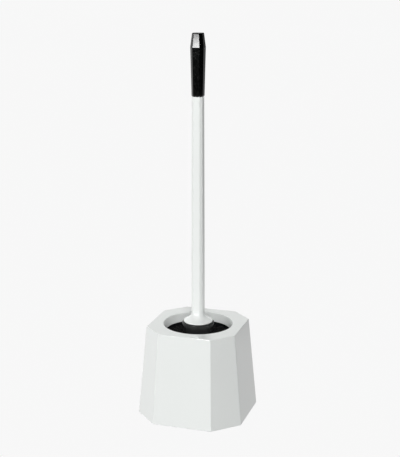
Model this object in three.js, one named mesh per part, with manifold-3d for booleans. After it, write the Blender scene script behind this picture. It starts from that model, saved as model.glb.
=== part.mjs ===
// A toilet brush standing in its holder.
//
// The holder is a moulded casing, square with chamfered corners and narrower at the top. Its deck has a
// round opening with a short neck. A drip cup stands under the neck, and a snapped-in base plate on four pads
// closes the bottom. The brush has an eight-sided handle with a trumpet-shaped splash collar, a plugged-in
// grip, and a core with a wider head that carries rings of bristle bundles.
//
// Millimetres, +Z up. The origin is on the floor, under the centre of the holder.

import * as THREE from 'three';
import { mergeVertices } from 'three/addons/utils/BufferGeometryUtils.js';
import Module from 'manifold-3d';

const wasm = await Module();
wasm.setup();

// ---- driving dimensions ----------------------------------------------------------------------------------

const GAP = 0.3; // between pieces that touch
const BEYOND = 1; // how far a cutter runs past the face that it opens, and a joined part into its neighbour
const ROUND = 48; // sides of a round piece
const SMALL_ROUND = 24; // sides of a pad
const CURVE_STEPS = 8; // straight stretches in a curved outline

// The casing's outline is a square with cut corners. "flat" is half the distance across its wide faces, and
// "side" is half the width of one wide face.
const CASING = {
  low: 0.4,
  high: 102.3,
  bottom: { flat: 60, side: 33.3 },
  top: { flat: 50.8, side: 29.6 },
  wall: 2.2,
  deck: 2.4,
  edge: 0.9, // bevel around the deck
};
const NECK = { mouth: 38.8, foot: 36.4, depth: 10, wall: 1.8 };

const PLATE = { low: 1.9, high: 4.1 };
const CATCH = { length: 20, height: 1.2, reach: 1.2 }; // bumps that the plate snaps past
const STOP = { length: 16, height: 9, reach: 2.4 }; // ribs that the plate is pushed up against
const CUP_RING = { room: 0.5, wall: 1.5, height: 5 }; // the plate's ring around the foot of the cup

const PAD = { radius: 6, height: 2.6, bevel: 0.5, at: 35.5 };

const CUP = { topRadius: 40.9, bottomRadius: 39.2, wall: 1.6, high: 94 };

const ROD = { bottom: 6.7, top: 6.0, sideShare: 0.56, boreRadius: 4, boreLow: 130, high: 356 };
const COLLAR = {
  radius: 16.3,
  low: 104.3,
  rim: 0.9,
  bend: { radius: 10.8, at: 108.8 },
  root: { radius: 6.4, at: 115 },
};
const SPIGOT = { radius: 6, low: 84 };

const GRIP = { bottom: 6.3, widest: 7.46, top: 5.8, widestAt: 408, high: 423, edge: 0.6, plug: 26 };

const CORE = { radius: 14.8, high: 104, domeAt: 20, low: 13, socketLow: 60 };
const CAP = { radius: 17.8, low: 93.4, high: 102.6, topRadius: 15.6 }; // the wider head of the core
const ROWS = { count: 9, first: 87.6, pitch: 7.6, radius: 34.8, rootHalf: 2.2, tipHalf: 3.6 };
const END_TUFT = { radius: 34.4, high: 21.6, shoulder: 16.5, footRadius: 25, rootDrop: 1.5, bulge: 2.5 };

const COLOURS = {
  white: { color: '#eaedec', roughness: 0.22 },
  black: { color: '#101212', roughness: 0.18 },
  cup: { color: '#17191a', roughness: 0.35 },
  bristle: { color: '#141414', roughness: 0.6 },
  rubber: { color: '#2b2c2d', roughness: 0.85 },
};

// ---- making solids ---------------------------------------------------------------------------------------

function solidOf(geometry) {
  geometry.deleteAttribute('normal');
  geometry.deleteAttribute('uv');
  const merged = mergeVertices(geometry);
  const corners = merged.index.array;
  const kept = [];
  for (let i = 0; i < corners.length; i += 3) {
    const [a, b, c] = [corners[i], corners[i + 1], corners[i + 2]];
    if (a !== b && b !== c && c !== a) kept.push(a, b, c);
  }
  return new wasm.Manifold(new wasm.Mesh({
    numProp: 3,
    vertProperties: new Float32Array(merged.attributes.position.array),
    triVerts: new Uint32Array(kept),
  }));
}

function meshOf(name, solid, look) {
  const made = solid.getMesh();
  const geometry = new THREE.BufferGeometry();
  geometry.setAttribute('position', new THREE.BufferAttribute(made.vertProperties, 3));
  geometry.setIndex(new THREE.BufferAttribute(made.triVerts, 1));
  const material = new THREE.MeshStandardMaterial({ ...look, metalness: 0, flatShading: true });
  const mesh = new THREE.Mesh(geometry, material);
  mesh.name = name;
  return mesh;
}

// A profile of [radius, height] points, from the axis up and back to the axis, turned about Z.
function turned(profile, sides = ROUND) {
  const points = profile.map(([radius, height]) => new THREE.Vector2(radius, height));
  return solidOf(new THREE.LatheGeometry(points, sides).rotateX(Math.PI / 2));
}

function cylinder(radius, low, high) {
  return turned([[0, low], [radius, low], [radius, high], [0, high]]);
}

// A square post whose half width follows a list of [half width, height] points, turned by an angle about Z.
function squarePost(halves, angle) {
  const corner = halves.map(([half, height]) => new THREE.Vector2(half * Math.SQRT2, height));
  const profile = [
    new THREE.Vector2(0, corner[0].y),
    ...corner,
    new THREE.Vector2(0, corner[corner.length - 1].y),
  ];
  return solidOf(new THREE.LatheGeometry(profile, 4).rotateX(Math.PI / 2).rotateZ(angle));
}

// An eight-sided post: a square one cut by another that stands at 45 degrees to it.
// Each level is { flat, side, height }.
function octagonPost(levels) {
  const square = squarePost(levels.map((l) => [l.flat, l.height]), Math.PI / 4);
  const corners = squarePost(levels.map((l) => [(l.flat + l.side) / Math.SQRT2, l.height]), 0);
  return square.intersect(corners);
}

// ---- the holder ------------------------------------------------------------------------------------------

const mix = (from, to, share) => from + (to - from) * share;

// The casing's outline at a height, moved in by an inset that is measured square to its walls.
function casingLevel(height, inset) {
  const share = (height - CASING.low) / (CASING.high - CASING.low);
  const flat = mix(CASING.bottom.flat, CASING.top.flat, share);
  const side = mix(CASING.bottom.side, CASING.top.side, share);
  const corner = (flat + side) / Math.SQRT2 - inset;
  return { flat: flat - inset, side: corner * Math.SQRT2 - (flat - inset), height };
}

// The four directions that the wide faces look in.
const quarterTurns = [0, 1, 2, 3].map((n) => (n * Math.PI) / 2);

// A bar along the inside of each wide wall, from low to high, that reaches in from the wall's inner face.
function wallBars(bar, low) {
  const inner = casingLevel(low + bar.height, CASING.wall).flat;
  const depth = bar.reach + CASING.wall / 2;
  return quarterTurns.map((angle) => {
    const shape = new THREE.BoxGeometry(bar.length, depth, bar.height);
    shape.translate(0, inner - bar.reach + depth / 2, low + bar.height / 2);
    return solidOf(shape.rotateZ(angle));
  });
}

function holderShell() {
  const outside = octagonPost([
    casingLevel(CASING.low, 0),
    casingLevel(CASING.high - CASING.edge, 0),
    casingLevel(CASING.high, CASING.edge),
  ]);
  const ceiling = CASING.high - CASING.deck;
  const inside = octagonPost([
    casingLevel(CASING.low - BEYOND, CASING.wall),
    casingLevel(ceiling, CASING.wall),
  ]);
  const neckLow = CASING.high - NECK.depth;
  const neck = turned([
    [0, neckLow],
    [NECK.foot + NECK.wall, neckLow],
    [NECK.mouth + NECK.wall, CASING.high - CASING.deck / 2],
    [0, CASING.high - CASING.deck / 2],
  ]);
  const slope = (NECK.mouth - NECK.foot) / NECK.depth;
  const opening = turned([
    [0, neckLow - BEYOND],
    [NECK.foot - slope * BEYOND, neckLow - BEYOND],
    [NECK.mouth + slope * BEYOND, CASING.high + BEYOND],
    [0, CASING.high + BEYOND],
  ]);
  let shell = outside.subtract(inside).add(neck).subtract(opening);
  const bars = [...wallBars(CATCH, CASING.low), ...wallBars(STOP, PLATE.high + GAP)];
  for (const bar of bars) shell = shell.add(bar);
  return shell;
}

const padCentres = [[1, 1], [-1, 1], [-1, -1], [1, -1]].map(([x, y]) => [x * PAD.at, y * PAD.at]);

function basePlate() {
  const inset = CASING.wall + GAP;
  let plate = octagonPost([casingLevel(PLATE.low, inset), casingLevel(PLATE.high, inset)]);
  const ringInner = CUP.bottomRadius + CUP_RING.room;
  const ringHigh = PLATE.high + CUP_RING.height;
  const ring = cylinder(ringInner + CUP_RING.wall, PLATE.low, ringHigh)
    .subtract(cylinder(ringInner, PLATE.high, ringHigh + BEYOND));
  plate = plate.add(ring);
  for (const [x, y] of padCentres) {
    const pocket = cylinder(PAD.radius + GAP, 0, PAD.height + GAP);
    plate = plate.subtract(pocket.translate([x, y, 0]));
  }
  return plate;
}

function footPad([x, y]) {
  const pad = turned([
    [0, 0],
    [PAD.radius - PAD.bevel, 0],
    [PAD.radius, PAD.bevel],
    [PAD.radius, PAD.height],
    [0, PAD.height],
  ], SMALL_ROUND);
  return pad.translate([x, y, 0]);
}

function innerCup() {
  const low = PLATE.high + GAP;
  return turned([
    [0, low],
    [CUP.bottomRadius, low],
    [CUP.topRadius, CUP.high],
    [CUP.topRadius - CUP.wall, CUP.high],
    [CUP.bottomRadius - CUP.wall, low + CUP.wall],
    [0, low + CUP.wall],
  ]);
}

// ---- the brush -------------------------------------------------------------------------------------------

// One level of the handle, whose eight sides keep their proportions all the way up.
const handleLevel = (flat, height) => ({ flat, side: flat * ROD.sideShare, height });

// The splash collar's upper face: it leaves the rod almost straight down and runs out flat at the rim.
function collarCurve() {
  const blend = new THREE.QuadraticBezierCurve(
    new THREE.Vector2(COLLAR.radius, COLLAR.low + COLLAR.rim),
    new THREE.Vector2(COLLAR.bend.radius, COLLAR.bend.at),
    new THREE.Vector2(COLLAR.root.radius, COLLAR.root.at),
  );
  return blend.getPoints(CURVE_STEPS).map((point) => [point.x, point.y]);
}

function brushRod() {
  const post = octagonPost([handleLevel(ROD.bottom, COLLAR.low), handleLevel(ROD.top, ROD.high)]);
  const collar = turned([
    [0, SPIGOT.low],
    [SPIGOT.radius, SPIGOT.low],
    [SPIGOT.radius, COLLAR.low],
    [COLLAR.radius, COLLAR.low],
    ...collarCurve(),
    [0, COLLAR.root.at],
  ]);
  const bore = cylinder(ROD.boreRadius, ROD.boreLow, ROD.high + BEYOND);
  return post.add(collar).subtract(bore);
}

function grip() {
  const low = ROD.high + GAP;
  const body = octagonPost([
    handleLevel(GRIP.bottom, low),
    handleLevel(GRIP.widest, GRIP.widestAt),
    handleLevel(GRIP.top, GRIP.high - GRIP.edge),
    handleLevel(GRIP.top - GRIP.edge, GRIP.high),
  ]);
  return body.add(cylinder(ROD.boreRadius - GAP, low - GRIP.plug, low + BEYOND));
}

// The core's rounded lower end, from the axis out to its side, with room around it.
function coreDome(room) {
  const radius = CORE.radius + room;
  const depth = CORE.domeAt - CORE.low + room;
  const curve = new THREE.EllipseCurve(0, CORE.domeAt, radius, depth, -Math.PI / 2, 0);
  const outline = curve.getPoints(CURVE_STEPS).map((point) => [point.x, point.y]);
  outline[0][0] = 0;
  return outline;
}

function headCore() {
  const body = turned([
    ...coreDome(0),
    [CORE.radius, CAP.low],
    [CAP.radius, CAP.low],
    [CAP.radius, CAP.high],
    [CAP.topRadius, CORE.high],
    [0, CORE.high],
  ]);
  return body.subtract(cylinder(SPIGOT.radius + GAP, CORE.socketLow, CORE.high + BEYOND));
}

// One ring of bundles, which spread from their roots in the core to the tips.
function bristleRow(index) {
  const centre = ROWS.first - index * ROWS.pitch;
  const root = CORE.radius + GAP;
  return turned([
    [root, centre - ROWS.rootHalf],
    [ROWS.radius, centre - ROWS.tipHalf],
    [ROWS.radius, centre + ROWS.tipHalf],
    [root, centre + ROWS.rootHalf],
    [root, centre - ROWS.rootHalf],
  ]);
}

// The bundles under the core, which fan out down to the floor of the cup.
function endTuft() {
  const low = PLATE.high + GAP + CUP.wall + GAP;
  const rootHigh = END_TUFT.high - END_TUFT.rootDrop;
  const fan = turned([
    [0, low],
    [END_TUFT.footRadius, low],
    [END_TUFT.radius - END_TUFT.bulge, (low + END_TUFT.shoulder) / 2],
    [END_TUFT.radius, END_TUFT.shoulder],
    [END_TUFT.radius, END_TUFT.high],
    [CORE.radius + GAP, rootHigh],
    [0, rootHigh],
  ]);
  return fan.subtract(turned([...coreDome(GAP), [CORE.radius + GAP, CORE.high], [0, CORE.high]]));
}

// ---- the assembly ----------------------------------------------------------------------------------------

const holder = new THREE.Group();
holder.add(meshOf('holder_shell', holderShell(), COLOURS.white));
holder.add(meshOf('inner_cup', innerCup(), COLOURS.cup));
holder.add(meshOf('base_plate', basePlate(), COLOURS.cup));
padCentres.forEach((centre, n) => {
  holder.add(meshOf(`foot_pad_${n + 1}`, footPad(centre), COLOURS.rubber));
});

const brush = new THREE.Group();
brush.add(meshOf('brush_rod', brushRod(), COLOURS.white));
brush.add(meshOf('grip', grip(), COLOURS.black));
brush.add(meshOf('head_core', headCore(), COLOURS.black));
for (let n = 0; n < ROWS.count; n += 1) {
  brush.add(meshOf(`bristle_row_${n + 1}`, bristleRow(n), COLOURS.bristle));
}
brush.add(meshOf('end_tuft', endTuft(), COLOURS.bristle));

const brushAndHolder = new THREE.Group();
brushAndHolder.add(holder, brush);

export default brushAndHolder;
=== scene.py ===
import math
import random

import bmesh
import bpy
from mathutils import Matrix, Vector


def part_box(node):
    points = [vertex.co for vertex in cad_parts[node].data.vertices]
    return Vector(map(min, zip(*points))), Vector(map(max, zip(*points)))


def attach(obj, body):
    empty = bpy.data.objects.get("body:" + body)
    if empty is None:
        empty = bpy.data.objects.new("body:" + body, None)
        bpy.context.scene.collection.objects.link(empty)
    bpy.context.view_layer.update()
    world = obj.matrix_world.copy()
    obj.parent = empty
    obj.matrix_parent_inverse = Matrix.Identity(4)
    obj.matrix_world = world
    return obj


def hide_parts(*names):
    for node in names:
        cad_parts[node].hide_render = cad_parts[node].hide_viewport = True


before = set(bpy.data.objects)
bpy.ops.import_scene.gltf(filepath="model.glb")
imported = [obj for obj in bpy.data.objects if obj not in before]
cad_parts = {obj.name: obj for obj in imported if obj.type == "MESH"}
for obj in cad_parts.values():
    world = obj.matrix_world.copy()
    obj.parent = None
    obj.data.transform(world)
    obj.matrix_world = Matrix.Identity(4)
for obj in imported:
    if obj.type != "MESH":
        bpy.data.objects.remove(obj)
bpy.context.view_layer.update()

bl_info = {
    "name": "Toilet Brush Holder",
    "version": (1, 0, 0),
    "blender": (4, 5, 0),
    "location": "View3D > Sidebar > Brush Holder",
    "description": "Models a toilet brush standing in its eight-sided holder",
    "category": "Add Mesh",
}

MM = 0.001
SAME = 0.001 * MM  # heights and points closer together than this count as the same

SHELL_LOW, SHELL_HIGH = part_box("holder_shell")
PLATE_LOW, PLATE_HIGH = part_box("base_plate")
CUP_LOW, CUP_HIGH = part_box("inner_cup")
ROD_LOW, ROD_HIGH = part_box("brush_rod")
GRIP_LOW, GRIP_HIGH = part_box("grip")
CORE_LOW, CORE_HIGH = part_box("head_core")
TUFT_LOW, TUFT_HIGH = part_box("end_tuft")
ROW_NAMES = sorted(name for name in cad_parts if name.startswith("bristle_row_"))
PAD_NAMES = sorted(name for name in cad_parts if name.startswith("foot_pad_"))


# ---- colours ---------------------------------------------------------------------------------------------


def linear(code):
    """An sRGB hex colour as linear red, green, blue and alpha."""
    channels = [int(code[i : i + 2], 16) / 255 for i in (1, 3, 5)]
    return (*[c / 12.92 if c <= 0.04045 else ((c + 0.055) / 1.055) ** 2.4 for c in channels], 1.0)


def length(name, description, default):
    """A size in metres that a user would change."""
    return bpy.props.FloatProperty(
        name=name, description=description, default=default, unit="LENGTH", precision=5
    )


def colour(name, description, code):
    """A colour that a user would change, from its sRGB hex code."""
    return bpy.props.FloatVectorProperty(
        name=name, description=description, default=linear(code), size=4, subtype="COLOR", min=0, max=1
    )


class BrushHolderSizes(bpy.types.PropertyGroup):
    """Sizes that a user would change, in metres."""

    foot_width: length("Foot width", "Across the holder's wide faces at its foot", SHELL_HIGH.x - SHELL_LOW.x)
    foot_face: length("Foot face", "Width of one wide face at the foot", 66.6 * MM)
    top_width: length("Top width", "Across the holder's wide faces at the deck", 101.6 * MM)
    top_face: length("Top face", "Width of one wide face at the deck", 59.2 * MM)
    wall: length("Wall", "Thickness of the holder's wall", 2.2 * MM)
    edge: length("Edge radius", "Rounding of the holder's edges", 0.6 * MM)
    mouth_radius: length("Mouth radius", "Radius of the opening in the deck", 38.8 * MM)
    neck_radius: length("Neck radius", "Radius of the neck at its lower edge", 36.4 * MM)
    neck_depth: length("Neck depth", "How far the neck reaches down from the deck", 10 * MM)
    rod_foot: length("Handle foot", "Half the handle's thickness at the collar", 6.7 * MM)
    rod_top: length("Handle top", "Half the handle's thickness under the grip", 6.0 * MM)
    grip_foot: length("Grip foot", "Half the grip's thickness at its lower end", 6.3 * MM)
    grip_top: length("Grip top", "Half the grip's thickness at its upper end", 5.8 * MM)
    grip_swell: length("Grip swell", "Height of the grip's thickest place", 408 * MM)
    core_radius: length("Core radius", "Radius of the core that the bristles are set in", 14.8 * MM)
    socket_radius: length("Socket radius", "Radius of the hole that takes the handle's spigot", 6.3 * MM)
    bristle: length("Bristle", "Diameter of one bristle", 0.5 * MM)


class BrushHolderCounts(bpy.types.PropertyGroup):
    """Counts and seed for the bristles."""

    tufts: bpy.props.IntProperty(name="Bundles", description="Bundles in one ring", default=20, min=6)
    bristles: bpy.props.IntProperty(name="Bristles", description="Bristles in one bundle", default=36, min=5)
    seed: bpy.props.IntProperty(name="Seed", description="Changes how the bristles lie", default=7, min=0)


class BrushHolderColours(bpy.types.PropertyGroup):
    """Colours of the finishes."""

    white: colour("White", "The holder, handle and collar", "#EDF0EE")
    black: colour("Black", "The grip", "#030404")
    cup: colour("Cup", "The drip cup and the base plate", "#1B1C1D")
    core: colour("Core", "The core of the head", "#2A2B2B")
    nylon: colour("Bristles", "The bristles", "#262626")
    rubber: colour("Pads", "The foot pads", "#2A2B2C")


# ---- materials -------------------------------------------------------------------------------------------


def add_node(tree, kind, values=None, links=None, **settings):
    """Adds a node, sets its fields and its inputs' values, and links its inputs to other nodes' outputs."""
    made = tree.nodes.new(kind)
    for field, value in settings.items():
        setattr(made, field, value)
    for socket, value in (values or {}).items():
        made.inputs[socket].default_value = value
    for socket, source in (links or {}).items():
        tree.links.new(source, made.inputs[socket])
    return made


def new_material(name):
    """An empty material and its node tree."""
    material = bpy.data.materials.new(name)
    material.use_nodes = True
    material.node_tree.nodes.clear()
    return material, material.node_tree


def shade(tone, share):
    """A colour made darker, with its alpha kept."""
    return (*[channel * share for channel in tone[:3]], 1.0)


MIX_FACTOR, MIX_A, MIX_B, MIX_RESULT = 0, 6, 7, 2  # a Mix node's sockets when it mixes colours
NOISE_SPAN = {"From Min": 0.3, "From Max": 0.7}  # where nearly all of a noise texture's values lie
ABS_IOR, PP_IOR, NYLON_IOR, RUBBER_IOR = 1.53, 1.49, 1.53, 1.5


def glossy_white_abs(colours):
    """White ABS moulded in a polished tool: bright and glossy, a trace of orange peel and flow marks."""
    flow_mark, haze_patch, peel_dimple = 45 * MM, 14 * MM, 2.2 * MM  # sizes usual on such a moulding
    peel_depth = 0.002 * MM
    material, tree = new_material("glossy_white_abs")
    place = add_node(tree, "ShaderNodeTexCoord").outputs["Object"]
    flow = add_node(tree, "ShaderNodeTexNoise", {"Scale": 1 / flow_mark, "Detail": 3}, {"Vector": place})
    haze = add_node(tree, "ShaderNodeTexNoise", {"Scale": 1 / haze_patch, "Detail": 4}, {"Vector": place})
    peel = add_node(tree, "ShaderNodeTexNoise", {"Scale": 1 / peel_dimple, "Detail": 1}, {"Vector": place})
    base = add_node(
        tree,
        "ShaderNodeMix",
        {MIX_A: shade(colours.white, 0.975), MIX_B: colours.white},
        {MIX_FACTOR: flow.outputs["Fac"]},
        data_type="RGBA",
    )
    rough = add_node(
        tree,
        "ShaderNodeMapRange",
        {**NOISE_SPAN, "To Min": 0.05, "To Max": 0.09},
        {"Value": haze.outputs["Fac"]},
    )
    relief = add_node(tree, "ShaderNodeBump", {"Distance": peel_depth}, {"Height": peel.outputs["Fac"]})
    shader = add_node(
        tree,
        "ShaderNodeBsdfPrincipled",
        {"IOR": ABS_IOR},
        {
            "Base Color": base.outputs[MIX_RESULT],
            "Roughness": rough.outputs["Result"],
            "Normal": relief.outputs["Normal"],
        },
    )
    add_node(tree, "ShaderNodeOutputMaterial", None, {"Surface": shader.outputs["BSDF"]})
    return material


def glossy_black_abs(colours):
    """Black ABS moulded in a polished tool: deep black under a wet-looking gloss that faint scuffs soften."""
    flow_mark, scuff_patch, peel_dimple = 18 * MM, 3 * MM, 1.6 * MM  # sizes usual on such a moulding
    peel_depth = 0.0015 * MM
    material, tree = new_material("glossy_black_abs")
    place = add_node(tree, "ShaderNodeTexCoord").outputs["Object"]
    flow = add_node(tree, "ShaderNodeTexNoise", {"Scale": 1 / flow_mark, "Detail": 2}, {"Vector": place})
    scuff = add_node(tree, "ShaderNodeTexNoise", {"Scale": 1 / scuff_patch, "Detail": 5}, {"Vector": place})
    peel = add_node(tree, "ShaderNodeTexNoise", {"Scale": 1 / peel_dimple, "Detail": 1}, {"Vector": place})
    base = add_node(
        tree,
        "ShaderNodeMix",
        {MIX_A: shade(colours.black, 0.6), MIX_B: colours.black},
        {MIX_FACTOR: flow.outputs["Fac"]},
        data_type="RGBA",
    )
    rough = add_node(
        tree,
        "ShaderNodeMapRange",
        {**NOISE_SPAN, "To Min": 0.09, "To Max": 0.16},
        {"Value": scuff.outputs["Fac"]},
    )
    relief = add_node(tree, "ShaderNodeBump", {"Distance": peel_depth}, {"Height": peel.outputs["Fac"]})
    shader = add_node(
        tree,
        "ShaderNodeBsdfPrincipled",
        {"IOR": ABS_IOR},
        {
            "Base Color": base.outputs[MIX_RESULT],
            "Roughness": rough.outputs["Result"],
            "Normal": relief.outputs["Normal"],
        },
    )
    add_node(tree, "ShaderNodeOutputMaterial", None, {"Surface": shader.outputs["BSDF"]})
    return material


def polished_black_pp(colours):
    """Black polypropylene from a polished tool: a soft wide sheen on a black that is not quite deep."""
    flow_mark, peel_dimple = 8 * MM, 1.2 * MM  # sizes usual on such a moulding
    peel_depth = 0.006 * MM
    material, tree = new_material("polished_black_pp")
    place = add_node(tree, "ShaderNodeTexCoord").outputs["Object"]
    flow = add_node(tree, "ShaderNodeTexNoise", {"Scale": 1 / flow_mark, "Detail": 3}, {"Vector": place})
    peel = add_node(tree, "ShaderNodeTexNoise", {"Scale": 1 / peel_dimple, "Detail": 2}, {"Vector": place})
    base = add_node(
        tree,
        "ShaderNodeMix",
        {MIX_A: shade(colours.core, 0.8), MIX_B: colours.core},
        {MIX_FACTOR: flow.outputs["Fac"]},
        data_type="RGBA",
    )
    rough = add_node(
        tree,
        "ShaderNodeMapRange",
        {**NOISE_SPAN, "To Min": 0.08, "To Max": 0.13},
        {"Value": flow.outputs["Fac"]},
    )
    relief = add_node(tree, "ShaderNodeBump", {"Distance": peel_depth}, {"Height": peel.outputs["Fac"]})
    shader = add_node(
        tree,
        "ShaderNodeBsdfPrincipled",
        {"IOR": PP_IOR},
        {
            "Base Color": base.outputs[MIX_RESULT],
            "Roughness": rough.outputs["Result"],
            "Normal": relief.outputs["Normal"],
        },
    )
    add_node(tree, "ShaderNodeOutputMaterial", None, {"Surface": shader.outputs["BSDF"]})
    return material


def satin_black_pp(colours):
    """Moulded black polypropylene from a finely eroded tool: a satin grain that spreads its reflections."""
    haze_patch = 9 * MM
    grain_pit = 0.7 * MM  # usually about 0.1 mm, which is too fine to show, so it is drawn coarser
    grain_depth = 0.01 * MM
    material, tree = new_material("satin_black_pp")
    place = add_node(tree, "ShaderNodeTexCoord").outputs["Object"]
    grain = add_node(tree, "ShaderNodeTexNoise", {"Scale": 1 / grain_pit, "Detail": 2}, {"Vector": place})
    haze = add_node(tree, "ShaderNodeTexNoise", {"Scale": 1 / haze_patch, "Detail": 3}, {"Vector": place})
    base = add_node(
        tree,
        "ShaderNodeMix",
        {MIX_A: shade(colours.cup, 0.75), MIX_B: colours.cup},
        {MIX_FACTOR: haze.outputs["Fac"]},
        data_type="RGBA",
    )
    rough = add_node(
        tree,
        "ShaderNodeMapRange",
        {**NOISE_SPAN, "To Min": 0.26, "To Max": 0.36},
        {"Value": haze.outputs["Fac"]},
    )
    relief = add_node(tree, "ShaderNodeBump", {"Distance": grain_depth}, {"Height": grain.outputs["Fac"]})
    shader = add_node(
        tree,
        "ShaderNodeBsdfPrincipled",
        {"IOR": PP_IOR},
        {
            "Base Color": base.outputs[MIX_RESULT],
            "Roughness": rough.outputs["Result"],
            "Normal": relief.outputs["Normal"],
        },
    )
    add_node(tree, "ShaderNodeOutputMaterial", None, {"Surface": shader.outputs["BSDF"]})
    return material


def black_nylon(colours):
    """Extruded nylon filament: black and smooth, a thin line of light along each bristle."""
    tone_patch = 1.3 * MM  # two or three bristles wide, so that the tone drifts across a bundle
    material, tree = new_material("black_nylon")
    place = add_node(tree, "ShaderNodeTexCoord").outputs["Object"]
    strand = add_node(tree, "ShaderNodeTexNoise", {"Scale": 1 / tone_patch, "Detail": 2}, {"Vector": place})
    base = add_node(
        tree,
        "ShaderNodeMix",
        {MIX_A: shade(colours.nylon, 0.45), MIX_B: colours.nylon},
        {MIX_FACTOR: strand.outputs["Fac"]},
        data_type="RGBA",
    )
    rough = add_node(
        tree,
        "ShaderNodeMapRange",
        {**NOISE_SPAN, "To Min": 0.25, "To Max": 0.42},
        {"Value": strand.outputs["Fac"]},
    )
    shader = add_node(
        tree,
        "ShaderNodeBsdfPrincipled",
        {"IOR": NYLON_IOR},
        {"Base Color": base.outputs[MIX_RESULT], "Roughness": rough.outputs["Result"]},
    )
    add_node(tree, "ShaderNodeOutputMaterial", None, {"Surface": shader.outputs["BSDF"]})
    return material


def soft_rubber(colours):
    """Moulded soft rubber: dull dark grey with a fine matt grain."""
    grain_pit = 0.5 * MM  # usually about 0.1 mm, which is too fine to show, so it is drawn coarser
    grain_depth = 0.03 * MM
    material, tree = new_material("soft_rubber")
    place = add_node(tree, "ShaderNodeTexCoord").outputs["Object"]
    grain = add_node(tree, "ShaderNodeTexNoise", {"Scale": 1 / grain_pit, "Detail": 3}, {"Vector": place})
    base = add_node(
        tree,
        "ShaderNodeMix",
        {MIX_A: shade(colours.rubber, 0.75), MIX_B: colours.rubber},
        {MIX_FACTOR: grain.outputs["Fac"]},
        data_type="RGBA",
    )
    rough = add_node(
        tree,
        "ShaderNodeMapRange",
        {**NOISE_SPAN, "To Min": 0.75, "To Max": 0.9},
        {"Value": grain.outputs["Fac"]},
    )
    relief = add_node(tree, "ShaderNodeBump", {"Distance": grain_depth}, {"Height": grain.outputs["Fac"]})
    shader = add_node(
        tree,
        "ShaderNodeBsdfPrincipled",
        {"IOR": RUBBER_IOR},
        {
            "Base Color": base.outputs[MIX_RESULT],
            "Roughness": rough.outputs["Result"],
            "Normal": relief.outputs["Normal"],
        },
    )
    add_node(tree, "ShaderNodeOutputMaterial", None, {"Surface": shader.outputs["BSDF"]})
    return material


def pale_paper():
    """A roll of matt studio paper, lit so evenly that it seems to glow, with the faintest cloudiness."""
    clouds_per_metre = 0.3
    material, tree = new_material("pale_paper")
    place = add_node(tree, "ShaderNodeTexCoord").outputs["Object"]
    cloud = add_node(tree, "ShaderNodeTexNoise", {"Scale": clouds_per_metre, "Detail": 1}, {"Vector": place})
    tone = add_node(
        tree,
        "ShaderNodeMix",
        {MIX_A: shade(linear(BACKDROP), 0.99), MIX_B: linear(BACKDROP)},
        {MIX_FACTOR: cloud.outputs["Fac"]},
        data_type="RGBA",
    )
    glow = add_node(tree, "ShaderNodeEmission", None, {"Color": tone.outputs[MIX_RESULT]})
    add_node(tree, "ShaderNodeOutputMaterial", None, {"Surface": glow.outputs["Emission"]})
    return material


FINISHES = {
    "glossy_white_abs": glossy_white_abs,
    "glossy_black_abs": glossy_black_abs,
    "polished_black_pp": polished_black_pp,
    "satin_black_pp": satin_black_pp,
    "black_nylon": black_nylon,
    "soft_rubber": soft_rubber,
}


def finish_of(name):
    """The named material, made the first time that a piece asks for it."""
    made = bpy.data.materials.get(name)
    return made or FINISHES[name](bpy.context.scene.brush_holder_colours)


# ---- modelling helpers -----------------------------------------------------------------------------------


def clear_selection():
    """Leaves edit mode and deselects everything, the CAD nodes as well."""
    if bpy.context.mode != "OBJECT":
        bpy.ops.object.mode_set(mode="OBJECT")
    bpy.ops.object.select_all(action="DESELECT")


def pick(test, kind="VERT"):
    """Selects only the edit mesh's vertices, edges or faces that pass a test of their middle."""
    mesh = bpy.context.edit_object.data
    bpy.ops.mesh.select_mode(type=kind)
    bpy.ops.mesh.select_all(action="DESELECT")
    form = bmesh.from_edit_mesh(mesh)
    parts = {"VERT": form.verts, "EDGE": form.edges, "FACE": form.faces}[kind]
    for part in parts:
        if kind == "VERT":
            middle = part.co
        else:
            middle = sum((v.co for v in part.verts), Vector()) / len(part.verts)
        part.select_set(bool(test(middle)))
    form.select_flush_mode()
    bmesh.update_edit_mesh(mesh)


def pick_edges(test):
    """Selects only the edit mesh's edges whose two ends pass a test."""
    mesh = bpy.context.edit_object.data
    bpy.ops.mesh.select_mode(type="EDGE")
    bpy.ops.mesh.select_all(action="DESELECT")
    form = bmesh.from_edit_mesh(mesh)
    for edge in form.edges:
        start, end = edge.verts
        edge.select_set(test(start.co, end.co))
    form.select_flush_mode()
    bmesh.update_edit_mesh(mesh)


def at_height(height):
    """A test for points at one height."""
    return lambda middle: abs(middle.z - height) < SAME


def extrude_to(height, scale=1.0):
    """Extrudes the selected ring straight up or down to a height and scales it about the axis."""
    form = bmesh.from_edit_mesh(bpy.context.edit_object.data)
    now = next(v.co.z for v in form.verts if v.select)
    bpy.ops.mesh.extrude_region_move(TRANSFORM_OT_translate={"value": (0, 0, height - now)})
    bpy.ops.transform.resize(value=(scale, scale, 1), center_override=(0, 0, height))


def shape_octagon(height, flat, side):
    """Pulls the eight corners of a ring to half width flat and half face width side."""
    for along_x in (True, False):
        in_ring = at_height(height)
        pick(lambda p: in_ring(p) and (abs(p.y) > abs(p.x)) == along_x)
        form = bmesh.from_edit_mesh(bpy.context.edit_object.data)
        corner = next(v.co for v in form.verts if v.select)
        now_x, now_y = abs(corner.x), abs(corner.y)
        want_x, want_y = (side, flat) if along_x else (flat, side)
        bpy.ops.transform.resize(
            value=(want_x / now_x, want_y / now_y, 1), center_override=(0, 0, height)
        )
    pick(at_height(height))


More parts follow.
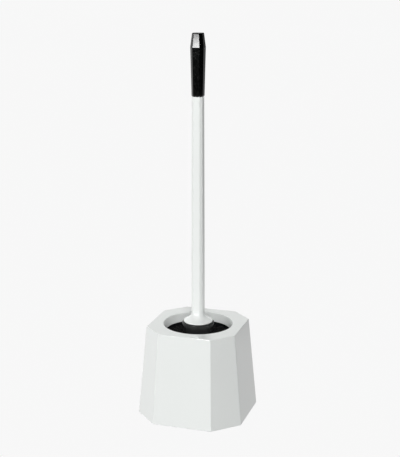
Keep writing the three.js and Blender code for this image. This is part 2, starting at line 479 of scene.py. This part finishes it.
def octagon_column(name, levels, capped=True):
    """An eight-sided column through (flat, side, height) levels, open at its foot unless capped."""
    clear_selection()
    flat, side, height = levels[0]
    bpy.ops.mesh.primitive_circle_add(vertices=8, radius=flat, rotation=(0, 0, math.pi / 8))
    piece = bpy.context.object
    piece.name = piece.data.name = name
    bpy.ops.object.transform_apply()
    bpy.ops.object.mode_set(mode="EDIT")
    bpy.ops.mesh.select_all(action="SELECT")
    bpy.ops.transform.translate(value=(0, 0, height))
    shape_octagon(height, flat, side)
    for flat, side, height in levels[1:]:
        extrude_to(height)
        shape_octagon(height, flat, side)
    bpy.ops.mesh.edge_face_add()
    if capped:
        pick(at_height(levels[0][2]))
        bpy.ops.mesh.edge_face_add()
    return piece


def spun(name, profile, steps=96):
    """A round piece from a profile of (radius, height) points, spun about the upright axis."""
    clear_selection()
    mesh = bpy.data.meshes.new(name)
    points = [(radius, 0, height) for radius, height in profile]
    mesh.from_pydata(points, [(i, i + 1) for i in range(len(points) - 1)], [])
    piece = bpy.data.objects.new(name, mesh)
    bpy.context.scene.collection.objects.link(piece)
    bpy.context.view_layer.objects.active = piece
    piece.select_set(True)
    bpy.ops.object.mode_set(mode="EDIT")
    bpy.ops.mesh.select_all(action="SELECT")
    bpy.ops.mesh.spin(steps=steps, angle=math.tau, center=(0, 0, 0), axis=(0, 0, 1))
    bpy.ops.mesh.select_all(action="SELECT")
    bpy.ops.mesh.remove_doubles(threshold=SAME)
    bpy.ops.mesh.normals_make_consistent(inside=False)
    bpy.ops.object.mode_set(mode="OBJECT")
    return piece


def apply_modifier(piece, kind, **settings):
    """Adds a modifier with its settings and applies it."""
    modifier = piece.modifiers.new(kind.lower(), kind)
    for field, value in settings.items():
        setattr(modifier, field, value)
    bpy.context.view_layer.objects.active = piece
    bpy.ops.object.modifier_apply(modifier=modifier.name)


def soften_edges(piece, width, segments, angle):
    """Rounds the edges that turn by more than an angle in degrees, and keeps flat faces flat in the light."""
    apply_modifier(
        piece,
        "BEVEL",
        width=width,
        segments=segments,
        limit_method="ANGLE",
        angle_limit=math.radians(angle),
        use_clamp_overlap=False,
    )
    smooth(piece, angle=60)
    apply_modifier(piece, "WEIGHTED_NORMAL", keep_sharp=True, weight=100)


def smooth(piece, angle):
    """Shades a piece smooth, apart from the edges that turn by more than an angle in degrees."""
    clear_selection()
    piece.select_set(True)
    bpy.context.view_layer.objects.active = piece
    bpy.ops.object.shade_smooth_by_angle(angle=math.radians(angle))


def arc(centre, radius, start, end, count):
    """Points on a rounded corner, from one angle to another in degrees."""
    angles = [math.radians(start + (end - start) * i / count) for i in range(count + 1)]
    return [(centre[0] + radius * math.cos(a), centre[1] + radius * math.sin(a)) for a in angles]


def give(piece, body, node, finish):
    """Puts a finish on a finished piece, ties it to the body and hides the CAD node that it stands for."""
    piece.data.materials.clear()
    piece.data.materials.append(finish_of(finish))
    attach(piece, body)
    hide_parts(node)


# ---- the holder ------------------------------------------------------------------------------------------


class BRUSHHOLDER_OT_casing(bpy.types.Operator):
    """Model the eight-sided casing with its deck and neck"""

    bl_idname = "brush_holder.casing"
    bl_label = "Casing"

    def execute(self, context):
        sizes = context.scene.brush_holder_sizes
        foot = (sizes.foot_width / 2, sizes.foot_face / 2, SHELL_LOW.z)
        top = (sizes.top_width / 2, sizes.top_face / 2, SHELL_HIGH.z)
        casing = octagon_column("casing", [foot, top], capped=False)
        self.open_mouth(sizes)
        self.drop_neck(sizes)
        bpy.ops.mesh.select_all(action="SELECT")
        bpy.ops.mesh.normals_make_consistent(inside=False)
        bpy.ops.object.mode_set(mode="OBJECT")
        apply_modifier(casing, "SOLIDIFY", thickness=sizes.wall, offset=-1, use_even_offset=True)
        soften_edges(casing, sizes.edge, segments=4, angle=25)
        give(casing, "holder", "holder_shell", "glossy_white_abs")
        return {"FINISHED"}

    def open_mouth(self, sizes):
        """Insets the deck, makes the inner outline round and opens it."""
        on_deck = at_height(SHELL_HIGH.z)
        pick(on_deck, "FACE")
        bpy.ops.mesh.inset(thickness=sizes.top_width / 2 - sizes.mouth_radius)
        inset_reach = sizes.mouth_radius * 1.2
        pick(lambda p: on_deck(p) and p.xy.length < inset_reach, "EDGE")
        bpy.ops.mesh.subdivide(number_cuts=11)
        bpy.ops.mesh.select_mode(type="VERT")
        mesh = bpy.context.edit_object.data
        form = bmesh.from_edit_mesh(mesh)
        for vertex in form.verts:
            if vertex.select:
                vertex.co.xy = vertex.co.xy.normalized() * sizes.mouth_radius
        bmesh.update_edit_mesh(mesh)
        pick(lambda p: on_deck(p) and p.xy.length < sizes.mouth_radius / 2, "FACE")
        bpy.ops.mesh.delete(type="ONLY_FACE")

    def drop_neck(self, sizes):
        """Extrudes the rim of the mouth down and in."""
        on_deck = at_height(SHELL_HIGH.z)
        rim_reach = sizes.mouth_radius * 1.001
        pick(lambda p: on_deck(p) and p.xy.length < rim_reach)
        extrude_to(SHELL_HIGH.z - sizes.neck_depth, sizes.neck_radius / sizes.mouth_radius)


class BRUSHHOLDER_OT_drip_cup(bpy.types.Operator):
    """Model the drip cup under the neck"""

    bl_idname = "brush_holder.drip_cup"
    bl_label = "Drip cup"

    def execute(self, context):
        wall = 1.6 * MM
        lip = wall / 2
        draft = 1.7 * MM
        outer_top = CUP_HIGH.x
        outer_foot = outer_top - draft
        fillet = 3 * MM
        inner_foot = outer_foot - wall
        floor = CUP_LOW.z + wall
        profile = [(0, CUP_LOW.z)]
        profile += arc((outer_foot - fillet, CUP_LOW.z + fillet), fillet, -90, 0, count=6)
        profile += arc((outer_top - lip, CUP_HIGH.z - lip), lip, 0, 180, count=8)
        profile += arc((inner_foot - fillet, floor + fillet), fillet, 0, -90, count=6)
        profile += [(0, floor)]
        cup = spun("drip_cup", profile)
        smooth(cup, angle=40)
        give(cup, "holder", "inner_cup", "satin_black_pp")
        return {"FINISHED"}


class BRUSHHOLDER_OT_bottom_plate(bpy.types.Operator):
    """Model the plate that closes the bottom of the casing"""

    bl_idname = "brush_holder.bottom_plate"
    bl_label = "Bottom plate"

    def execute(self, context):
        sizes = context.scene.brush_holder_sizes
        half = PLATE_HIGH.x
        side = half * sizes.foot_face / sizes.foot_width
        thick = 2.2 * MM
        ring_inner = CUP_HIGH.x - 1.2 * MM
        ring_outer = ring_inner + 1.5 * MM
        room = 0.3 * MM  # left round each pad in its pocket
        edge = 0.3 * MM
        level = PLATE_LOW.z + thick
        sunk = level - thick / 2  # the ring's foot, inside the plate
        plate = octagon_column("bottom_plate", [(half, side, PLATE_LOW.z), (half, side, level)])
        bpy.ops.object.mode_set(mode="OBJECT")
        ring = spun(
            "plate_ring",
            [
                (ring_inner, sunk),
                (ring_outer, sunk),
                (ring_outer, PLATE_HIGH.z),
                (ring_inner, PLATE_HIGH.z),
                (ring_inner, sunk),
            ],
        )
        self.combine(plate, ring, "UNION")
        for name in PAD_NAMES:
            low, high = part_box(name)
            centre = (low + high) / 2
            radius = (high.x - low.x) / 2 + room
            top = high.z + room
            pocket = spun("pocket", [(0, 0), (radius, 0), (radius, top), (0, top)], steps=48)
            pocket.data.transform(Matrix.Translation((centre.x, centre.y, 0)))
            self.combine(plate, pocket, "DIFFERENCE")
        soften_edges(plate, edge, segments=2, angle=30)
        give(plate, "holder", "base_plate", "satin_black_pp")
        return {"FINISHED"}

    def combine(self, piece, other, operation):
        """Joins another shape to a piece or cuts it out, and removes it."""
        clear_selection()
        apply_modifier(piece, "BOOLEAN", operation=operation, object=other, solver="EXACT")
        bpy.data.objects.remove(other)


class BRUSHHOLDER_OT_pads(bpy.types.Operator):
    """Model the soft pads that the holder stands on"""

    bl_idname = "brush_holder.pads"
    bl_label = "Foot pads"

    def execute(self, context):
        low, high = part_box(PAD_NAMES[0])
        radius = (high.x - low.x) / 2
        bead = 0.7 * MM
        dish_depth, dish_radius = 0.25 * MM, radius * 0.6
        profile = [(0, dish_depth), (dish_radius, dish_depth)]
        profile += arc((radius - bead, bead), bead, -90, 0, count=5)
        profile += [(radius, high.z), (0, high.z)]
        for name in PAD_NAMES:
            low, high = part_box(name)
            pad = spun(name.replace("foot_pad", "soft_pad"), profile, steps=48)
            centre = (low + high) / 2
            pad.location = (centre.x, centre.y, 0)
            bpy.ops.object.transform_apply()
            smooth(pad, angle=40)
            give(pad, "holder", name, "soft_rubber")
        return {"FINISHED"}


# ---- the brush -------------------------------------------------------------------------------------------

SIDE_SHARE = 0.56  # half the width of a wide face of the handle, as a share of its half thickness
JOINT_GAP = 0.3 * MM  # left where two pieces of the brush meet end to end
CORE_DOME = 7 * MM  # height of the core's rounded lower end
STATIONS = (0, 0.35, 0.7, 1)  # the points of a bristle's path, as shares of its length
END_RINGS = ((0.28, 1), (0.5, 6), (0.78, 11), (0.97, 16))  # share of the way out over the dome, bundles there


class BRUSHHOLDER_OT_handle(bpy.types.Operator):
    """Model the eight-sided handle, its splash collar and the spigot under it"""

    bl_idname = "brush_holder.handle"
    bl_label = "Handle"

    def execute(self, context):
        sizes = context.scene.brush_holder_sizes
        rim_radius = ROD_HIGH.x
        rim_low = CORE_HIGH.z + JOINT_GAP
        collar_height = 11.5 * MM
        corner_radius = 0.55 * MM
        blend_high = rim_low + collar_height
        top = (sizes.rod_top, sizes.rod_top * SIDE_SHARE, ROD_HIGH.z)
        share = (blend_high - rim_low) / (ROD_HIGH.z - rim_low)
        flat = sizes.rod_foot + (sizes.rod_top - sizes.rod_foot) * share
        foot = (flat, flat * SIDE_SHARE, blend_high)
        handle = octagon_column("handle", [foot, top], capped=False)
        self.round_corners(corner_radius)
        self.add_collar(blend_high, rim_low, rim_radius)
        bpy.ops.mesh.select_all(action="SELECT")
        bpy.ops.mesh.remove_doubles(threshold=SAME)
        bpy.ops.mesh.normals_make_consistent(inside=False)
        bpy.ops.object.mode_set(mode="OBJECT")
        smooth(handle, angle=38)
        apply_modifier(handle, "WEIGHTED_NORMAL", keep_sharp=True, weight=60)
        give(handle, "brush", "brush_rod", "glossy_white_abs")
        return {"FINISHED"}

    def round_corners(self, radius):
        """Rounds the handle's long edges and cuts the faces between them into strips."""
        pick_edges(lambda start, end: abs(start.z - end.z) > 1 * MM)
        bpy.ops.mesh.bevel(offset=radius, segments=4, profile=0.5, affect="EDGES")
        pick_edges(lambda start, end: abs(start.z - end.z) < SAME and (start - end).length > 2 * radius)
        bpy.ops.mesh.subdivide(number_cuts=5)

    def add_collar(self, blend_high, rim_low, rim_radius):
        """Extrudes the foot into a trumpet, which turns from eight-sided to round, and then the spigot."""
        steps = 18
        bead = 0.95 * MM
        rounding_pace = 1.6  # the trumpet is round once it is 1 / 1.6 of the way down
        spigot, chamfer = 6 * MM, 1 * MM
        pick(at_height(blend_high))
        form = bmesh.from_edit_mesh(bpy.context.edit_object.data)
        ring = [v.co.xy.copy() for v in form.verts if v.select]
        inner = sum(p.length for p in ring) / len(ring)
        start = Vector((inner, blend_high))
        upper_bend = Vector((inner + 0.5 * MM, rim_low + 6.6 * MM))
        lower_bend = Vector((10.2 * MM, rim_low + 4.6 * MM))
        bead_centre = Vector((rim_radius - bead, rim_low + bead))
        lean = math.radians(62)
        end = bead_centre + bead * Vector((math.cos(lean), math.sin(lean)))
        for i in range(1, steps + 1):
            t = i / steps
            point = start * (1 - t) ** 3 + upper_bend * (3 * t * (1 - t) ** 2)
            point += lower_bend * (3 * t**2 * (1 - t)) + end * t**3
            share = min(1.0, t * rounding_pace)
            self.ring_out(point.y, point.x, share * share * (3 - 2 * share))
        # the trumpet meets the bead at 62 degrees, and the bead's own rings start at 48
        for radius, height in arc((rim_radius - bead, rim_low + bead), bead, 48, -90, count=9):
            self.ring_out(height, radius, 1.0)
        self.ring_out(rim_low + SAME, spigot * 1.02, 1.0)
        self.ring_out(ROD_LOW.z + chamfer, spigot, 1.0)
        self.ring_out(ROD_LOW.z, spigot - chamfer, 1.0)
        bpy.ops.mesh.edge_face_add()

    def ring_out(self, height, radius, share):
        """Extrudes the selected ring to a height, where it is a share of the way to a circle."""
        mesh = bpy.context.edit_object.data
        form = bmesh.from_edit_mesh(mesh)
        old = [v.co.xy.length for v in form.verts if v.select]
        mean = sum(old) / len(old)
        extrude_to(height)
        form = bmesh.from_edit_mesh(mesh)
        for vertex in form.verts:
            if vertex.select:
                unit = vertex.co.xy.normalized()
                shape = vertex.co.xy.length / mean
                vertex.co.xy = unit * radius * (shape * (1 - share) + share)
        bmesh.update_edit_mesh(mesh)


class BRUSHHOLDER_OT_grip(bpy.types.Operator):
    """Model the black grip that is plugged into the handle"""

    bl_idname = "brush_holder.grip"
    bl_label = "Grip"

    def execute(self, context):
        sizes = context.scene.brush_holder_sizes
        low = ROD_HIGH.z + JOINT_GAP
        widest = GRIP_HIGH.x
        lip, edge = 0.6 * MM, 0.45 * MM
        halves = [
            (sizes.grip_foot - lip / 2, low),
            (sizes.grip_foot, low + lip),
            (widest, sizes.grip_swell),
            (sizes.grip_top, GRIP_HIGH.z - lip),
            (sizes.grip_top - lip, GRIP_HIGH.z),
        ]
        grip = octagon_column("grip_end", [(half, half * SIDE_SHARE, height) for half, height in halves])
        self.add_plug(low)
        bpy.ops.mesh.select_all(action="SELECT")
        bpy.ops.mesh.normals_make_consistent(inside=False)
        bpy.ops.object.mode_set(mode="OBJECT")
        soften_edges(grip, edge, segments=4, angle=4)
        give(grip, "brush", "grip", "glossy_black_abs")
        return {"FINISHED"}

    def add_plug(self, low):
        """Insets the grip's foot and extrudes the plug that goes into the handle."""
        shoulder, taper = 2.4 * MM, 0.95
        pick(at_height(low), "FACE")
        bpy.ops.mesh.inset(thickness=shoulder)
        extrude_to(GRIP_LOW.z, taper)


class BRUSHHOLDER_OT_head_core(bpy.types.Operator):
    """Model the core that the bristles are set in"""

    bl_idname = "brush_holder.head_core"
    bl_label = "Head core"

    def execute(self, context):
        sizes = context.scene.brush_holder_sizes
        radius = sizes.core_radius
        cap_radius = CORE_HIGH.x
        cap_low = CORE_HIGH.z - 10.6 * MM
        shoulder = 0.7 * MM
        edge = 0.4 * MM
        socket_low = 60 * MM
        profile = [
            (radius * math.sin(math.radians(a)), CORE_LOW.z + CORE_DOME * (1 - math.cos(math.radians(a))))
            for a in range(0, 91, 9)
        ]
        profile += arc((radius + edge, cap_low - edge), edge, 180, 90, count=3)
        profile += arc((cap_radius - edge, cap_low + edge), edge, -90, 0, count=4)
        profile += arc((cap_radius - shoulder, CORE_HIGH.z - shoulder), shoulder, 0, 90, count=8)
        profile += [(sizes.socket_radius, CORE_HIGH.z), (sizes.socket_radius, socket_low), (0, socket_low)]
        core = spun("head_core_fine", profile)
        smooth(core, angle=40)
        give(core, "brush", "head_core", "polished_black_pp")
        return {"FINISHED"}


class BRUSHHOLDER_OT_bristles(bpy.types.Operator):
    """Model the bristles, one piece for each ring of bundles"""

    bl_idname = "brush_holder.bristles"
    bl_label = "Bristles"

    def execute(self, context):
        sizes = context.scene.brush_holder_sizes
        counts = context.scene.brush_holder_counts
        chance = random.Random(counts.seed)
        for index, name in enumerate(ROW_NAMES):
            low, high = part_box(name)
            centre = (low.z + high.z) / 2
            turn = math.tau / counts.tufts * (index % 2) / 2  # each ring fills the last one's gaps
            paths = []
            for n in range(counts.tufts):
                angle = turn + math.tau * n / counts.tufts
                paths += self.side_tuft(chance, counts.bristles, sizes.core_radius, angle, centre, high)
            self.make(name.replace("bristle_row", "bristles"), paths, sizes.bristle, name)
        paths = []
        for reach, count in END_RINGS:
            for n in range(count):
                angle = math.tau * (n + reach) / count
                tilt = reach if count > 1 else 0.0
                paths += self.end_bundle(chance, counts.bristles, sizes.core_radius, angle, tilt)
        self.make("bristles_end", paths, sizes.bristle, "end_tuft")
        return {"FINISHED"}

    def in_disc(self, chance):
        """A point spread evenly over a disc of radius 1."""
        radius, angle = math.sqrt(chance.random()), math.tau * chance.random()
        return radius * math.cos(angle), radius * math.sin(angle)

    def side_tuft(self, chance, count, core, angle, centre, high):
        """Bristles that leave one hole in the side of the core and spread towards their tips."""
        hole, depth, sweep = 1.7 * MM, 0.8 * MM, 5.4 * MM
        short, sway, nod = 0.6 * MM, 0.35 * MM, 0.25 * MM  # how far tips stray inwards, sideways and up
        sag, slack = 0.25 * MM, 0.3 * MM  # how far a bristle droops, and strays from that
        inside = 0.98  # keeps the tips within their ring's height
        shorter = 0.02  # how much shorter the outermost bristles of a bundle are
        tip_radius = high.x
        rise = (high.z - centre) * inside
        out = Vector((math.cos(angle), math.sin(angle), 0))
        across = Vector((-out.y, out.x, 0))
        up = Vector((0, 0, 1))
        paths = []
        for _ in range(count):
            a, b = self.in_disc(chance)
            reach = tip_radius - abs(chance.gauss(0, short)) - shorter * tip_radius * a * a
            root = out * (core - depth) + across * (a * hole) + up * (centre + b * hole)
            side = a * sweep + chance.gauss(0, sway)
            lift = b * rise + chance.gauss(0, nod)
            lift = max(-rise, min(rise, lift))
            tip = out * math.sqrt(max(reach**2 - side**2, 0)) + across * side + up * (centre + lift)
            bow = up * chance.gauss(-sag, slack) + across * chance.gauss(0, sway)
            paths.append(self.bowed(root, tip, bow))
        return paths

    def end_bundle(self, chance, count, core, angle, tilt):
        """Bristles that leave the rounded end of the core and fan down and out."""
        hole, depth, longest, slack = 1.6 * MM, 1 * MM, 22 * MM, 0.3 * MM
        spread_along, spread_out = 0.24, 0.2  # how far the bundle opens along its ring and away from it
        uneven = 0.06  # how much shorter than the longest a bristle may be
        lean = math.radians(78) * tilt
        polar = math.radians(90) * tilt
        out = Vector((math.cos(angle), math.sin(angle), 0))
        across = Vector((-out.y, out.x, 0))
        down = Vector((0, 0, -1))
        heading = (down * math.cos(lean) + out * math.sin(lean)).normalized()
        other = heading.cross(across).normalized()
        height = CORE_DOME * (1 - math.cos(polar))
        start = out * ((core - depth) * math.sin(polar)) + Vector((0, 0, CORE_LOW.z + height + depth))
        paths = []
        for _ in range(count):
            a, b = self.in_disc(chance)
            root = start + across * (a * hole) + other * (b * hole)
            aim = (heading + across * (a * spread_along) + other * (b * spread_out)).normalized()
            free = longest * (1 - uneven * chance.random())
            if aim.z < -0.02:  # it points down, so it ends at the tuft's lower side at the latest
                free = min(free, (root.z - TUFT_LOW.z) / -aim.z)
            tip = root + aim * free
            if tip.xy.length > TUFT_HIGH.x:
                tip.xy *= TUFT_HIGH.x / tip.xy.length
            paths.append(self.bowed(root, tip, across * chance.gauss(0, slack)))
        return paths

    def bowed(self, root, tip, bow):
        """A bristle's path, which stands off the straight line by bow in the middle."""
        return [root.lerp(tip, t) + bow * (4 * t * (1 - t)) for t in STATIONS]

    def make(self, name, paths, thickness, node):
        """Draws the paths as one curve with a small section, thinner at the tips, and makes it a mesh."""
        tip_share = 0.7
        clear_selection()
        curve = bpy.data.curves.new(name, "CURVE")
        curve.dimensions = "3D"
        curve.bevel_depth = thickness / 2
        curve.bevel_resolution = 0
        curve.use_fill_caps = True
        for path in paths:
            spline = curve.splines.new("POLY")
            spline.points.add(len(path) - 1)
            spline.points.foreach_set("co", [c for point in path for c in (*point, 1.0)])
            spline.points[len(path) - 1].radius = tip_share
        piece = bpy.data.objects.new(name, curve)
        bpy.context.scene.collection.objects.link(piece)
        bpy.context.view_layer.objects.active = piece
        piece.select_set(True)
        bpy.ops.object.convert(target="MESH")
        piece = bpy.context.object
        piece.name = piece.data.name = name
        smooth(piece, angle=180)
        give(piece, "brush", node, "black_nylon")


# ---- the stage -------------------------------------------------------------------------------------------

BACKDROP = "#F8F8F8"  # the pale tone of the floor and of the wall behind it
FILL_LEFT, FILL_RIGHT = 0.36, 0.12  # brightness of the room's two sides, as matt surfaces see it
BRIGHT_WAY = (-0.75, 0.5, -0.6)  # towards the brightest part of the room, as glossy surfaces see it
BRIGHT_SPAN = {"From Min": 0.13, "From Max": 0.98, "To Min": 0.0, "To Max": 1.25}  # its rise towards there
GROUND_SPAN = {"From Min": -0.19, "From Max": -0.3, "To Min": 0.0, "To Max": 0.9}  # below the horizon
HOLDER_MIDDLE, GRIP_BEVEL = Vector((0, 0, 0.1)), Vector((0, 0, 0.41))
WIDE_LIGHTS = (  # name, place, width and height in metres, power in watts
    ("key_high", Vector((0.45, -1.35, 1.1)), 0.8, 0.8, 17.5),
    ("key_low", Vector((-0.55, -1.56, 0.14)), 1.4, 0.25, 10.0),
    ("back_right", Vector((0.6, 1.55, 0.16)), 1.4, 0.3, 12.0),
    ("back_left", Vector((-1.2, 1.15, 0.18)), 1.4, 0.3, 13.0),
    ("back_high", Vector((-0.45, 1.2, 1.2)), 0.3, 0.3, 13.0),
)
CARD = (Vector((-0.363, -1.144, 0.505)), 0.3, 0.17, 4.1)  # place, width, height, power
CAMERA_PLACE, CAMERA_WAY = Vector((0.3511, -1.1024, 0.5030)), Vector((-0.2926, 0.9244, -0.2447))
LENS, SENSOR = 85.69, 36  # in millimetres


class BRUSHHOLDER_OT_stage(bpy.types.Operator):
    """Make the floor, the studio light and the camera"""

    bl_idname = "brush_holder.stage"
    bl_label = "Stage"

    def execute(self, context):
        self.make_floor()
        self.make_world(context.scene)
        self.make_lights()
        self.make_camera(context.scene)
        context.scene.view_settings.view_transform = "Standard"
        return {"FINISHED"}

    def make_floor(self):
        """A wide sheet of paper that only the camera sees, so that its glow reaches no piece."""
        clear_selection()
        bpy.ops.mesh.primitive_plane_add(size=60)
        floor = bpy.context.object
        floor.name = "studio_floor"
        floor.data.materials.append(pale_paper())
        floor.visible_glossy = False
        floor.visible_diffuse = False

    def make_world(self, scene):
        """A soft fill for matt surfaces, and for glossy ones a room that is bright at the left and below."""
        world = bpy.data.worlds.new("studio")
        scene.world = world
        world.cycles.sampling_method = "NONE"  # otherwise a glossy surface would see the fill too
        world.use_nodes = True
        tree = world.node_tree
        tree.nodes.clear()
        way = add_node(tree, "ShaderNodeTexCoord").outputs["Generated"]
        toward = add_node(
            tree, "ShaderNodeVectorMath", {1: BRIGHT_WAY}, {0: way}, operation="DOT_PRODUCT"
        )
        bright = add_node(tree, "ShaderNodeMapRange", BRIGHT_SPAN, {"Value": toward.outputs["Value"]})
        axes = add_node(tree, "ShaderNodeSeparateXYZ", None, {"Vector": way})
        ground = add_node(tree, "ShaderNodeMapRange", GROUND_SPAN, {"Value": axes.outputs["Z"]})
        sides = add_node(
            tree,
            "ShaderNodeMapRange",
            {"From Min": -1.0, "From Max": 1.0, "To Min": FILL_LEFT, "To Max": FILL_RIGHT},
            {"Value": axes.outputs["X"]},
        )
        mirrored = add_node(
            tree,
            "ShaderNodeMath",
            None,
            {0: bright.outputs["Result"], 1: ground.outputs["Result"]},
            operation="MAXIMUM",
        )
        path = add_node(tree, "ShaderNodeLightPath")
        white = {"Color": linear("#FFFFFF")}
        glossy = add_node(tree, "ShaderNodeBackground", white, {"Strength": mirrored.outputs["Value"]})
        fill = add_node(tree, "ShaderNodeBackground", white, {"Strength": sides.outputs["Result"]})
        seen = add_node(tree, "ShaderNodeBackground", {"Color": linear(BACKDROP), "Strength": 1.0})
        room = add_node(
            tree,
            "ShaderNodeMixShader",
            None,
            {"Fac": path.outputs["Is Glossy Ray"], 1: fill.outputs[0], 2: glossy.outputs[0]},
        )
        mixed = add_node(
            tree,
            "ShaderNodeMixShader",
            None,
            {"Fac": path.outputs["Is Camera Ray"], 1: room.outputs[0], 2: seen.outputs[0]},
        )
        add_node(tree, "ShaderNodeOutputWorld", None, {"Surface": mixed.outputs["Shader"]})

    def make_lights(self):
        """Wide soft lights all round for matt surfaces, and a small card for the gloss."""
        for name, place, width, height, power in WIDE_LIGHTS:
            lamp = self.softbox(name, place, HOLDER_MIDDLE, width, height, power)
            lamp.visible_glossy = False
        place, width, height, power = CARD
        card = self.softbox("card", place, GRIP_BEVEL, width, height, power)
        card.visible_diffuse = False

    def softbox(self, name, place, target, width, height, power):
        """A flat light that faces a target and is itself out of the camera's sight."""
        light = bpy.data.lights.new(name, "AREA")
        light.shape = "RECTANGLE"
        light.size, light.size_y = width, height
        light.energy = power
        lamp = bpy.data.objects.new(name, light)
        lamp.location = place
        lamp.rotation_euler = (target - place).to_track_quat("-Z", "Y").to_euler()
        lamp.visible_camera = False
        bpy.context.scene.collection.objects.link(lamp)
        return lamp

    def make_camera(self, scene):
        """A long lens, a little above the brush and to the right of it."""
        camera = bpy.data.cameras.new("camera")
        camera.lens, camera.sensor_width = LENS, SENSOR
        camera.clip_start, camera.clip_end = 0.05, 100
        stand = bpy.data.objects.new("camera", camera)
        stand.location = CAMERA_PLACE
        stand.rotation_euler = CAMERA_WAY.to_track_quat("-Z", "Y").to_euler()
        scene.collection.objects.link(stand)
        scene.camera = stand


# ---- the add-on ------------------------------------------------------------------------------------------

OPERATORS = (
    BRUSHHOLDER_OT_stage,
    BRUSHHOLDER_OT_casing,
    BRUSHHOLDER_OT_drip_cup,
    BRUSHHOLDER_OT_bottom_plate,
    BRUSHHOLDER_OT_pads,
    BRUSHHOLDER_OT_handle,
    BRUSHHOLDER_OT_grip,
    BRUSHHOLDER_OT_head_core,
    BRUSHHOLDER_OT_bristles,
)
PROPERTY_GROUPS = {
    "brush_holder_sizes": BrushHolderSizes,
    "brush_holder_counts": BrushHolderCounts,
    "brush_holder_colours": BrushHolderColours,
}


class BRUSHHOLDER_PT_panel(bpy.types.Panel):
    """Lists the pieces and the values that they are made from"""

    bl_idname = "BRUSHHOLDER_PT_panel"
    bl_label = "Brush Holder"
    bl_space_type = "VIEW_3D"
    bl_region_type = "UI"
    bl_category = "Brush Holder"

    def draw(self, context):
        for operator in OPERATORS:
            self.layout.operator(operator.bl_idname)
        for field, group in PROPERTY_GROUPS.items():
            column = self.layout.column(align=True)
            for name in group.__annotations__:
                column.prop(getattr(context.scene, field), name)


def register():
    for item in (*PROPERTY_GROUPS.values(), *OPERATORS, BRUSHHOLDER_PT_panel):
        bpy.utils.register_class(item)
    for field, group in PROPERTY_GROUPS.items():
        setattr(bpy.types.Scene, field, bpy.props.PointerProperty(type=group))


def unregister():
    for field in PROPERTY_GROUPS:
        delattr(bpy.types.Scene, field)
    for item in (BRUSHHOLDER_PT_panel, *reversed(OPERATORS), *PROPERTY_GROUPS.values()):
        bpy.utils.unregister_class(item)


def main():
    register()
    for operator in OPERATORS:
        group, name = operator.bl_idname.split(".")
        getattr(getattr(bpy.ops, group), name)()


if __name__ == "__main__":
    main()
